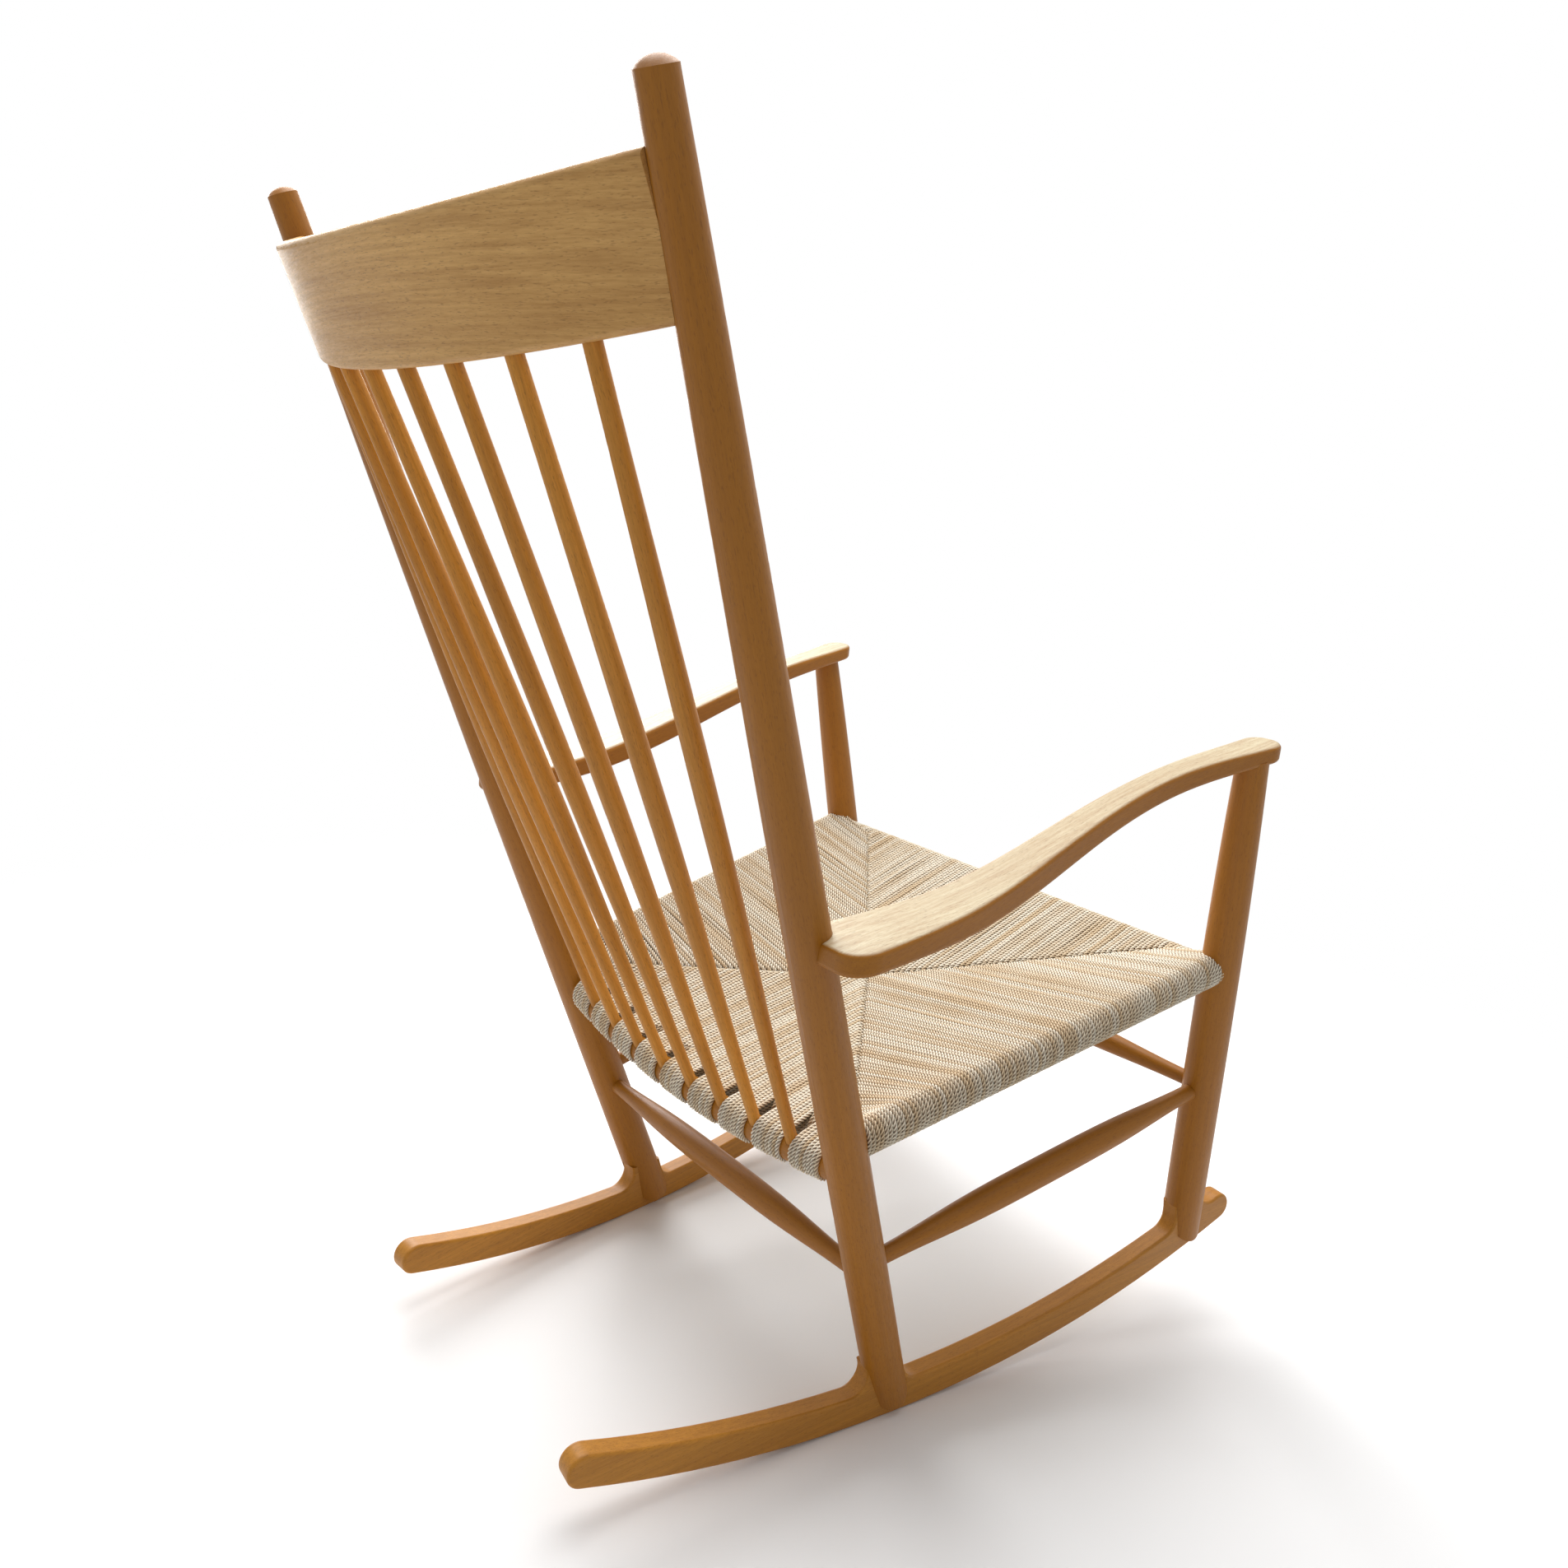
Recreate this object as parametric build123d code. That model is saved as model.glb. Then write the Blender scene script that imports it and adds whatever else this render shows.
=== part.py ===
from build123d import *
from math import atan2, cos, degrees, hypot, pi, radians, sin, sqrt, tan
import os

# A glued beech rocking chair with a spindle back and a woven cord seat.
# Millimetres, +Z up. The sitter faces -Y and +X is the sitter's left. While the
# pieces are drawn, y = 0 is the line where the rockers touch the floor; at the end
# the whole chair is moved so that the origin is the middle of its base.

# Fits
fit = 0.1                      # clearance all round in a glued joint
cord_clearance = 0.3           # the woven cord stays this far from the wood
tenon_radius = 7.5             # round tenons of rails, stretchers, arms and legs
tenon_depth = 11.0             # how far a tenon goes into its leg or post

# Rockers: two flat boards on edge, cut to an arc
rocker_radius = 1183.0         # of the sole
rocker_thickness = 21.0
rocker_height = 31.0           # from sole to top, along the radius
rocker_toe_out = 7.2           # degrees, the front ends stand further apart
rocker_offset = 207.0          # centre plane to the chair's middle, above the contact line
rocker_tail = 310.0            # along the sole, contact line to the round tail end's centre
rocker_toe = 482.0             # along the sole, contact line to the round front end's centre
boss_height = 58.0             # the rocker rises this far inside each leg
boss_inset = 1.0               # the rise is this much narrower than the leg, each side
shoulder_radius = 18.0         # hollow curve from the rise down to the rocker's top
rocker_edge = 3.0              # rounding of the long edges
sole_gap = 9.0                 # sole to the round end of a leg's cheeks

# Back posts, turned, from the rocker joint to the top
post_foot_along = -14.0        # along the sole, from the contact line
post_top = (298.2, 400.1, 1070.0)
post_foot_radius = 20.0
post_top_radius = 13.2
post_taper_power = 2.5
post_dome = 6.0                # height of the domed top end

# Front legs, turned, from the rocker joint to the arm
leg_behind_toe = 48.5          # along the sole, from the round front end's centre to the leg's joint
leg_foot_along = leg_behind_toe - rocker_toe
leg_top = (307.8, -306.0, 641.0)
leg_foot_radius = 20.2
leg_top_radius = 15.0
leg_taper_power = 3.5
leg_overrun = 0.01             # share of the leg drawn past its top, then coped to the arm

# Crest rail, a bowed board between the posts
crest_low_at_post = 943.0      # height of its lower edge on the post's axis
crest_height = 95.0
crest_tilt = 3.0               # degrees, its faces lean back this much more than the posts
crest_thickness = 19.0
crest_bow = 77.0               # depth of the arc behind the line between the posts
crest_edge = 5.0               # rounding of its long edges
crest_tenon = (9.0, 60.0, 9.0)  # thickness, height and depth of the end tenons

# Seat rails
seat_front_on_leg = 411.0      # height of the front rail's axis on the leg's axis
seat_side_on_leg = 425.0
seat_side_on_post = 320.0
seat_back_on_post = 290.0
seat_rail_width = 21.0
seat_rail_height = 26.0
back_rail_bow = 13.0           # backwards, in the middle
back_rail_dip = 13.0           # downwards, in the middle

# Stretchers, turned, thickest in the middle
front_stretcher_height = 280.0
side_stretcher_on_leg = front_stretcher_height
side_stretcher_on_post = 183.0
back_stretcher_height = 166.0
stretcher_end_radius = 8.0
stretcher_middle_radius = 13.8

# Spindles
spindle_count = 8
spindle_pitch_low = 47.4
spindle_pitch_high = 62.5
spindle_end_radius = 5.6
spindle_belly_radius = 8.8
spindle_belly_at = 0.42        # of the length, from the seat
spindle_neck_radius = 7.7
spindle_neck_at = 0.76
spindle_top_radius = 6.6
spindle_socket = 12.0          # depth of the holes for its ends

# Arms: sawn from a thick board, broad behind, narrow before the leg. Along an arm,
# 0 is the post's axis and 1 the leg's; offsets are from the straight line between them.
# A station is the place along the arm, the rise of its middle and its thickness.
arm_on_post = 518.0            # height of its middle on the post's axis
arm_stations = ((0.25, -12.5, 22.5), (0.45, -9.0, 24.0), (0.62, 0.0, 22.0), (0.82, 4.5, 19.5))
arm_thickness_post = 19.0
arm_thickness_leg = 17.0
arm_outer_at_post = 61.0
arm_outer = ((0.3, 41.0), (0.6, 14.0), (0.77, 7.0))
arm_outer_at_leg = 15.0
arm_inner_at_post = 12.0
arm_inner = ((0.3, -8.0), (0.6, -18.5))
arm_inner_at_leg = 24.0
arm_overhang = 28.0            # past the leg's axis in front
arm_flare = 4.0                # its front end is this much broader on the outside
arm_nod = 2.0                  # its front end drops this much
arm_spare = 0.05               # share of the arm's side view drawn past its front end
arm_ear = 6.0                  # past the post's axis behind
arm_corner = 25.0              # rounding of the outer corner behind
arm_tip = 17.0                 # rounding of the front corners
arm_edge = 4.0                 # rounding of the long edges

# Woven seat, drawn as one plain body: a sleeve on each rail and a slab between them
cord_wrap = 4.0                # cord around a rail
weave_middle = (0.0, -135.0, 347.0)
weave_middle_thickness = 12.0
slab_under = 2.5               # its underside starts this far below the rails' axes
corner_inset = 26.0            # the slab's corners are cut off this far from the uprights' axes
bare_patch = 14.0              # uncovered rail behind each spindle
patch_reach = 20.0             # how far in front of the rail's axis that gap goes


def line_point(start, end, height):
    """The point of a straight axis at a given height."""
    return start + (end - start) * ((height - start.Z) / (end.Z - start.Z))


def mirrored(solid):
    return solid.mirror(Plane.YZ)


def mirrored_point(point):
    return Vector(-point.X, point.Y, point.Z)


def turned(start, end, stations):
    """A solid turned about start-end; stations are (distance, radius) pairs."""
    curve = Spline(*[(radius, 0, distance) for distance, radius in stations])
    low, high = stations[0][0], stations[-1][0]
    rest = Polyline(curve @ 1, (0, 0, high), (0, 0, low), curve @ 0)
    solid = revolve(make_face([curve, rest]), axis=Axis.Z)
    return Plane(origin=start, z_dir=end - start) * solid


def peg(start, end, low, high, radius):
    """A plain cylinder about start-end, between two distances from start."""
    body = Pos(0, 0, (low + high) / 2) * Cylinder(radius, high - low)
    return Plane(origin=start, z_dir=end - start) * body


def taper(foot_radius, top_radius, power, share):
    return foot_radius - (foot_radius - top_radius) * max(share, 0.0) ** power


# ---------------------------------------------------------------- rockers

toe_out = radians(rocker_toe_out)
board = Plane(
    origin=(rocker_offset, 0, 0),
    x_dir=(-sin(toe_out), cos(toe_out), 0),
    z_dir=(cos(toe_out), sin(toe_out), 0),
)
arc_centre = Pos(0, rocker_radius)


def ring(low, high):
    """The band between two heights above the sole, in the board's plane."""
    return arc_centre * (Circle(rocker_radius - low) - Circle(rocker_radius - high))


def arc_point(along, height):
    """A point of the board's plane at a height above the sole, along its radius."""
    angle = along / rocker_radius
    reach = rocker_radius - height
    return (reach * sin(angle), rocker_radius - reach * cos(angle))


def above_sole(place):
    """How high a point of the board's plane is above the sole, along its radius."""
    return rocker_radius - hypot(place.X, rocker_radius - place.Y)


def on_board(along):
    """Middle of a leg's joint, half way up the rise."""
    return board.from_local_coords(Vector(*arc_point(along, boss_height / 2), 0))


post_foot = on_board(post_foot_along)
post_head = Vector(*post_top)
leg_foot = on_board(leg_foot_along)
leg_head = Vector(*leg_top)
joint_drop = boss_height / 2 - sole_gap


def side_strip(foot, head, half_width, low, high):
    """A strip of the board's plane about a leg's axis."""
    start = board.to_local_coords(foot)
    away = board.to_local_coords(head) - start
    turn = degrees(atan2(away.Y, away.X))
    middle = (low + high) / 2
    return Pos(start.X, start.Y) * Rot(0, 0, turn) * Pos(middle, 0) * Rectangle(high - low, 2 * half_width)


def shoulder(solid, foot, head, side):
    """Hollow the corner behind (side 1) or before (side -1) a leg's rise."""
    start = board.to_local_coords(foot)
    away = board.to_local_coords(head) - start
    radial = atan2(start.X, rocker_radius - start.Y)
    lean = atan2(away.X, away.Y) + radial
    room = (boss_height - rocker_height) / cos(lean)
    widest = 0.95 * room * tan(pi / 4 - side * lean / 2)
    corners = []
    for edge in solid.edges().filter_by(Axis.Z):
        place = edge.center()
        angle = atan2(place.X, rocker_radius - place.Y)
        if abs(above_sole(place) - rocker_height) < 0.01 and side * (angle - radial) > 0:
            corners.append(edge)
    corners.sort(key=lambda edge: abs(edge.center().X - start.X))
    return fillet(corners[0], min(shoulder_radius, widest))


def rocker():
    reach = 1.3 * rocker_radius
    tail_angle = rocker_tail / rocker_radius
    toe_angle = rocker_toe / rocker_radius
    wedge = make_face(Polyline(
        (0, rocker_radius),
        (reach * sin(tail_angle), rocker_radius - reach * cos(tail_angle)),
        (0, rocker_radius - reach),
        (-reach * sin(toe_angle), rocker_radius - reach * cos(toe_angle)),
        close=True,
    ))
    outline = ring(0, rocker_height) & wedge
    for along in (rocker_tail, -rocker_toe):
        outline += Pos(*arc_point(along, rocker_height / 2)) * Circle(rocker_height / 2)
    for foot, head, radius in (
        (post_foot, post_head, post_foot_radius),
        (leg_foot, leg_head, leg_foot_radius),
    ):
        strip = side_strip(foot, head, radius - boss_inset, -boss_height, boss_height)
        outline += strip & ring(rocker_height / 2, boss_height)
    solid = extrude(outline, rocker_thickness / 2, both=True)
    for foot, head in ((post_foot, post_head), (leg_foot, leg_head)):
        for side in (1, -1):
            solid = shoulder(solid, foot, head, side)
    outline_edges = solid.faces().filter_by(Axis.Z).edges()
    long_edges = [edge for edge in outline_edges if above_sole(edge.center()) < boss_height - rocker_edge]
    return board * fillet(long_edges, rocker_edge)


def cheeks(leg, foot, head, radius):
    """Open a leg's lower end over the rocker and round the two cheeks."""
    slot = ring(-boss_height, boss_height + fit)
    strip = side_strip(foot, head, 2 * radius, -2 * boss_height, 2 * boss_height)
    leg -= extrude(board * (slot & strip), rocker_thickness / 2 + fit, both=True)
    keep = side_strip(foot, head, radius + fit, radius - joint_drop, leg_top[2] * 2)
    start = board.to_local_coords(foot)
    away = (board.to_local_coords(head) - start).normalized()
    end = start + away * (radius - joint_drop)
    keep += Pos(end.X, end.Y) * Circle(radius + fit)
    return leg & extrude(board * keep, post_head.X, both=True)


# ---------------------------------------------------------------- posts and legs

post_length = (post_head - post_foot).length
leg_length = (leg_head - leg_foot).length


def post_radius(distance):
    return taper(post_foot_radius, post_top_radius, post_taper_power, distance / post_length)


def leg_radius(distance):
    return taper(leg_foot_radius, leg_top_radius, leg_taper_power, distance / leg_length)


def post_body(extra):
    marks = [-joint_drop] + [post_length * share for share in (0, 0.3, 0.55, 0.8, 1)]
    return turned(post_foot, post_head, [(mark, post_radius(mark) + extra) for mark in marks])


def post_cap():
    """What is cut off the top of a post to leave a shallow dome."""
    ball_radius = (post_top_radius**2 + post_dome**2) / (2 * post_dome)
    block = Pos(0, 0, post_length) * Cylinder(2 * post_top_radius, 2 * post_dome)
    block -= Pos(0, 0, post_length - ball_radius) * Sphere(ball_radius)
    return Plane(origin=post_foot, z_dir=post_head - post_foot) * block


def leg_body(extra):
    """The leg runs a little into the arm, which is then cut away from it."""
    marks = [-joint_drop] + [leg_length * share for share in (0, 0.35, 0.6, 0.8, 1 + leg_overrun)]
    return turned(leg_foot, leg_head, [(mark, leg_radius(mark) + extra) for mark in marks])


def post_at(height):
    """Axis point of the left post and its radius there."""
    point = line_point(post_foot, post_head, height)
    return point, post_radius((point - post_foot).length)


def leg_at(height):
    point = line_point(leg_foot, leg_head, height)
    return point, leg_radius((point - leg_foot).length)


# ---------------------------------------------------------------- pieces between two uprights

def between(start, start_radius, end, end_radius):
    """The axis of a piece between two uprights and where its ends and shoulders are."""
    length = (end - start).length
    return {
        "start": start,
        "end": end,
        "low": start_radius - tenon_depth,
        "high": length - end_radius + tenon_depth,
        "low_shoulder": start_radius,
        "high_shoulder": length - end_radius,
    }


def stretcher(span):
    middle = (span["low"] + span["high"]) / 2
    quarter = (span["high"] - span["low"]) / 4
    swell = stretcher_middle_radius - stretcher_end_radius
    stations = [
        (span["low"], stretcher_end_radius),
        (span["low_shoulder"], stretcher_end_radius),
        (span["low"] + quarter, stretcher_end_radius + 0.75 * swell),
        (middle, stretcher_middle_radius),
        (span["high"] - quarter, stretcher_end_radius + 0.75 * swell),
        (span["high_shoulder"], stretcher_end_radius),
        (span["high"], stretcher_end_radius),
    ]
    return turned(span["start"], span["end"], stations)


def oval(span, growth):
    """The oval of a straight rail from axis to axis, grown all round."""
    away = span["end"] - span["start"]
    section = Plane(origin=span["start"], x_dir=Vector(0, 0, 1).cross(away), z_dir=away)
    profile = Ellipse(seat_rail_width / 2 + growth, seat_rail_height / 2 + growth)
    return section * extrude(profile, away.length)


def rail(span, uprights):
    """A straight oval rail, coped to its uprights, with a round tenon at each end."""
    solid = oval(span, 0)
    for upright in uprights:
        solid -= upright
    return solid + peg(span["start"], span["end"], span["low"], span["high"], tenon_radius)


def sockets(span, radius):
    """The two blind holes that take the ends of a piece between two uprights."""
    start, end = span["start"], span["end"]
    near = peg(start, end, span["low"] - fit, span["low_shoulder"] + tenon_depth, radius + fit)
    far = peg(start, end, span["high_shoulder"] - tenon_depth, span["high"] + fit, radius + fit)
    return near, far


leg_front, leg_front_radius = leg_at(seat_front_on_leg)
leg_side, leg_side_radius = leg_at(seat_side_on_leg)
post_side, post_side_radius = post_at(seat_side_on_post)
post_back, post_back_radius = post_at(seat_back_on_post)
leg_low, leg_low_radius = leg_at(front_stretcher_height)
leg_tie, leg_tie_radius = leg_at(side_stretcher_on_leg)
post_tie, post_tie_radius = post_at(side_stretcher_on_post)
post_low, post_low_radius = post_at(back_stretcher_height)

front_rail_span = between(leg_front, leg_front_radius, mirrored_point(leg_front), leg_front_radius)
side_rail_span = between(leg_side, leg_side_radius, post_side, post_side_radius)
front_tie_span = between(leg_low, leg_low_radius, mirrored_point(leg_low), leg_low_radius)
side_tie_span = between(leg_tie, leg_tie_radius, post_tie, post_tie_radius)
back_tie_span = between(post_low, post_low_radius, mirrored_point(post_low), post_low_radius)


# ---------------------------------------------------------------- back seat rail

def arc_drop(across, half_span, depth):
    """How far an arc has fallen from its middle, at a distance from the middle."""
    radius = (half_span**2 + depth**2) / (2 * depth)
    return radius - sqrt(radius**2 - across**2)


back_rail_depth = sqrt(back_rail_bow**2 + back_rail_dip**2)


def back_rail_point(across):
    """A point of the back rail's curved axis."""
    left = back_rail_depth - arc_drop(across, post_back.X, back_rail_depth)
    share = left / back_rail_depth
    return Vector(across, post_back.Y + back_rail_bow * share, post_back.Z - back_rail_dip * share)


def back_rail_sweep(inset, width, height):
    """The back rail's oval between two points inset from the post axes."""
    reach = post_back.X - inset
    path = ThreePointArc(back_rail_point(reach), back_rail_point(0), back_rail_point(-reach))
    start = Plane(origin=path @ 0, x_dir=(0, 1, 0), z_dir=path % 0)
    return sweep(start * Ellipse(width / 2, height / 2), path=path, normal=None)


def back_rail_tangent():
    reach = post_back.X - post_back_radius
    path = ThreePointArc(back_rail_point(reach), back_rail_point(0), back_rail_point(-reach))
    return path @ 0, (path % 0) * -1


def back_rail_peg(low, high, radius):
    start, away = back_rail_tangent()
    return peg(start, start + away, low, high, radius)


def back_rail():
    solid = back_rail_sweep(0, seat_rail_width, seat_rail_height)
    solid -= post_body(fit)
    solid -= mirrored(post_body(fit))
    tenon = back_rail_peg(-tenon_depth, tenon_depth, tenon_radius)
    return solid + tenon + mirrored(tenon)


# ---------------------------------------------------------------- crest rail

post_lean = post_head - post_foot
crest_up = Vector(0, post_lean.Y, post_lean.Z).normalized().rotate(Axis.X, -crest_tilt)
crest_corner, crest_corner_radius = post_at(crest_low_at_post)
crest_plane = Plane(origin=(0, crest_corner.Y, crest_corner.Z), x_dir=(1, 0, 0), z_dir=crest_up)
crest_half_span = crest_corner.X


def crest_back(across):
    """How far the board's middle layer lies behind the line between the posts."""
    return crest_bow - arc_drop(across, crest_half_span, crest_bow)


def crest_point(across):
    """A point of the lower edge, in the middle of the board's thickness."""
    return crest_plane.from_local_coords(Vector(across, crest_back(across), 0))


def crest_radius():
    return (crest_half_span**2 + crest_bow**2) / (2 * crest_bow)


def crest_board():
    centre = Pos(0, crest_bow - crest_radius())
    half = crest_thickness / 2
    band = centre * (Circle(crest_radius() + half) - Circle(crest_radius() - half))
    band &= Pos(0, crest_bow) * Rectangle(2 * crest_half_span, 2 * (crest_bow + crest_thickness))
    board_solid = extrude(band, crest_height)
    long_edges = [edge for edge in board_solid.edges() if edge.length > 2 * crest_half_span]
    return crest_plane * fillet(long_edges, crest_edge)


def crest_tenon_box(extra):
    """The tenon that goes from the board's end into the left post."""
    thickness, height, depth = crest_tenon
    turn = degrees(atan2(crest_half_span, sqrt(crest_radius() ** 2 - crest_half_span**2)))
    reach = crest_corner_radius + depth
    box = Box(reach + 2 * extra, thickness + 2 * extra, height + 2 * extra)
    inwards = Pos(depth - crest_corner_radius - reach / 2, 0, 0)
    return crest_plane * (Pos(crest_half_span, 0, crest_height / 2) * Rot(0, 0, -turn) * inwards * box)


# ---------------------------------------------------------------- spindles

def spindle_ends(index):
    place = index - (spindle_count - 1) / 2
    low = back_rail_point(place * spindle_pitch_low)
    high = crest_point(place * spindle_pitch_high)
    up = (high - low).normalized()
    return low + up * (seat_rail_height / 2 - spindle_socket), high + up * spindle_socket


def spindle(index):
    start, end = spindle_ends(index)
    length = (end - start).length
    stations = [
        (0, spindle_end_radius),
        (spindle_socket, spindle_end_radius),
        (spindle_belly_at * length, spindle_belly_radius),
        (spindle_neck_at * length, spindle_neck_radius),
        (length - spindle_socket, spindle_top_radius),
        (length, spindle_top_radius),
    ]
    return turned(start, end, stations)


def spindle_holes(index):
    start, end = spindle_ends(index)
    length = (end - start).length
    low = peg(start, end, -fit, 2 * spindle_socket, spindle_end_radius + 2 * fit)
    high = peg(start, end, length - 2 * spindle_socket, length + fit, spindle_top_radius + 2 * fit)
    return low, high


# ---------------------------------------------------------------- arms

arm_joint, arm_joint_radius = post_at(arm_on_post)
arm_rest = leg_head + Vector(0, 0, arm_thickness_leg / 2)
arm_run = arm_rest - arm_joint
arm_start = -1.5 * arm_ear / abs(arm_run.Y)
arm_end = 1 + arm_overhang / abs(arm_run.Y)


def arm_side():
    """The arm's side view, swept across its whole width."""
    slope = arm_stations[0][1] / arm_stations[0][0]
    places = [
        (arm_start, slope * arm_start / 2, arm_thickness_post),
        (0, 0, arm_thickness_post),
        *arm_stations,
        (1, 0, arm_thickness_leg),
        (arm_end + arm_spare, -arm_nod, arm_thickness_leg),
    ]
    upper, lower = [], []
    for share, rise, thickness in places:
        middle = arm_joint + arm_run * share
        half = thickness / 2
        upper.append((0, middle.Y, middle.Z + rise + half))
        lower.append((0, middle.Y, middle.Z + rise - half))
    over = Spline(*upper)
    under = Spline(*lower)
    face = make_face([over, under, Line(over @ 0, under @ 0), Line(over @ 1, under @ 1)])
    return extrude(face, 2 * arm_rest.X, both=True)


def arm_plan():
    """The arm's outline from above, stepped behind so that only the ear passes the post."""
    def plan_point(share, offset):
        middle = arm_joint + arm_run * share
        return (middle.X + offset, middle.Y)

    back = -arm_ear / abs(arm_run.Y)
    inner_places = [(0, -arm_inner_at_post), *arm_inner, (1, -arm_inner_at_leg), (arm_end, -arm_inner_at_leg)]
    outer_places = [(back, arm_outer_at_post), *arm_outer, (1, arm_outer_at_leg), (arm_end, arm_outer_at_leg + arm_flare)]
    inner = Spline(*[plan_point(*place) for place in inner_places])
    outer = Spline(*[plan_point(*place) for place in outer_places])
    step = arm_joint.X + 0.8 * arm_joint_radius
    behind = Polyline(inner @ 0, (step, arm_joint.Y), (step, arm_joint.Y + arm_ear), outer @ 0)
    face = make_face([inner, outer, behind, Line(inner @ 1, outer @ 1)])
    ear = max(face.vertices(), key=lambda vertex: vertex.X + vertex.Y)
    face = fillet(ear, arm_corner)
    tip = sorted(face.vertices(), key=lambda vertex: vertex.Y)[:2]
    face = fillet(tip, arm_tip)
    return extrude(face, post_top[2])


def arm():
    blank = arm_side() & arm_plan()
    long_edges = [edge for edge in blank.edges() if edge.length > abs(arm_run.Y) / 2]
    return fillet(long_edges, arm_edge)


# ---------------------------------------------------------------- woven seat

def weave_slab(rim):
    """A slab from the rails, all round, to the middle of the weave."""
    above = Vector(0, 0, seat_rail_height / 2 + cord_wrap)
    below = Vector(0, 0, -slab_under)
    middle_top = Vector(*weave_middle)
    middle_low = middle_top - Vector(0, 0, weave_middle_thickness)
    faces = []
    for first, second in zip(rim, rim[1:] + rim[:1]):
        top = (first + above, second + above)
        low = (second + below, first + below)
        for loop in ((*top, middle_top), (*low, middle_low), (*top, *low)):
            faces.append(make_face(Polyline(*loop, close=True)))
    return Solid(Shell(faces))


def patch(index):
    """The gap in the weave that leaves the back rail bare at one spindle."""
    start, end = spindle_ends(index)
    origin = back_rail_point((index - (spindle_count - 1) / 2) * spindle_pitch_low)
    place = Plane(origin=origin, x_dir=(1, 0, 0), z_dir=end - start)
    depth = patch_reach + seat_rail_width + 2 * cord_wrap
    height = 2 * (seat_rail_height + 2 * cord_wrap)
    return place * (Pos(0, depth / 2 - patch_reach, 0) * Box(bare_patch, depth, height))


def towards(start, end):
    """Where the slab's rim meets a rail, beside the upright at the rail's start."""
    return start + (end - start).normalized() * corner_inset


def seat_cord():
    places = [(index - (spindle_count - 1) / 2) * spindle_pitch_low for index in range(spindle_count)]
    lows = [-post_back.X] + [place + bare_patch / 2 for place in places]
    highs = [place - bare_patch / 2 for place in places] + [post_back.X]
    marks = sorted(lows[1:] + highs[:-1] + [corner_inset - post_back.X, post_back.X - corner_inset])
    rear = [back_rail_point(mark) for mark in reversed(marks)]
    left = [
        towards(leg_front, mirrored_point(leg_front)),
        towards(leg_side, post_side),
        towards(post_side, leg_side),
    ]
    right = [mirrored_point(point) for point in reversed(left)]
    solid = weave_slab(left + rear + right)
    solid += oval(front_rail_span, cord_wrap)
    solid += oval(side_rail_span, cord_wrap)
    solid += mirrored(oval(side_rail_span, cord_wrap))
    for low, high in zip(lows, highs):
        solid += oval({"start": back_rail_point(low), "end": back_rail_point(high)}, cord_wrap)
    for index in range(spindle_count):
        solid -= patch(index)
    gap = 2 * cord_clearance
    solid -= back_rail_sweep(0, seat_rail_width + gap, seat_rail_height + gap)
    solid -= oval(front_rail_span, cord_clearance)
    for cut in (oval(side_rail_span, cord_clearance), post_body(cord_clearance), leg_body(cord_clearance)):
        solid -= cut
        solid -= mirrored(cut)
    return solid


# ---------------------------------------------------------------- the pieces

parts = {}


def add_pair(name, solid):
    """The left piece and its mirror image."""
    parts[name + "_left"] = solid
    parts[name + "_right"] = mirrored(solid)


arm_blank = arm()
arm_away = Vector(0, arm_run.Y, arm_run.Z)
arm_tenon = peg(
    arm_joint, arm_joint + arm_away, arm_joint_radius - tenon_depth, arm_joint_radius + tenon_depth, tenon_radius
)
arm_socket = peg(
    arm_joint, arm_joint + arm_away, arm_joint_radius - tenon_depth - fit, 2 * arm_joint_radius, tenon_radius + fit
)
leg_tenon = peg(leg_foot, leg_head, leg_length - tenon_depth, leg_length + tenon_depth, tenon_radius)
leg_socket = peg(leg_foot, leg_head, leg_length - tenon_depth, leg_length + tenon_depth + fit, tenon_radius + fit)

post = cheeks(post_body(0), post_foot, post_head, post_foot_radius) - post_cap()
side_tie_near, side_tie_far = sockets(side_tie_span, stretcher_end_radius)
side_rail_near, side_rail_far = sockets(side_rail_span, tenon_radius)
for hole in (
    side_tie_far,
    side_rail_far,
    sockets(back_tie_span, stretcher_end_radius)[0],
    back_rail_peg(-tenon_depth - fit, tenon_depth, tenon_radius + fit),
    crest_tenon_box(fit),
    arm_socket,
):
    post -= hole
add_pair("back_post", post)

leg = cheeks(leg_body(0), leg_foot, leg_head, leg_foot_radius)
leg -= Pos(0, 0, -fit) * arm_blank
leg += leg_tenon
for hole in (
    side_tie_near,
    side_rail_near,
    sockets(front_tie_span, stretcher_end_radius)[0],
    sockets(front_rail_span, tenon_radius)[0],
):
    leg -= hole
add_pair("front_leg", leg)

add_pair("rocker", rocker())
add_pair("arm", arm_blank - post_body(fit) + arm_tenon - leg_socket)
add_pair("stretcher", stretcher(side_tie_span))
add_pair("seat_rail", rail(side_rail_span, (post_body(fit), leg_body(fit))))
parts["stretcher_front"] = stretcher(front_tie_span)
parts["stretcher_back"] = stretcher(back_tie_span)
parts["seat_rail_front"] = rail(front_rail_span, (leg_body(fit), mirrored(leg_body(fit))))

back_seat_rail = back_rail()
crest = crest_board()
crest -= post_body(fit)
crest -= mirrored(post_body(fit))
crest += crest_tenon_box(0)
crest += mirrored(crest_tenon_box(0))
for index in range(spindle_count):
    parts["spindle_" + str(index + 1)] = spindle(index)
    low_hole, high_hole = spindle_holes(index)
    back_seat_rail -= low_hole
    crest -= high_hole
parts["seat_rail_back"] = back_seat_rail
parts["crest_rail"] = crest
parts["seat_cord"] = seat_cord()

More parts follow.
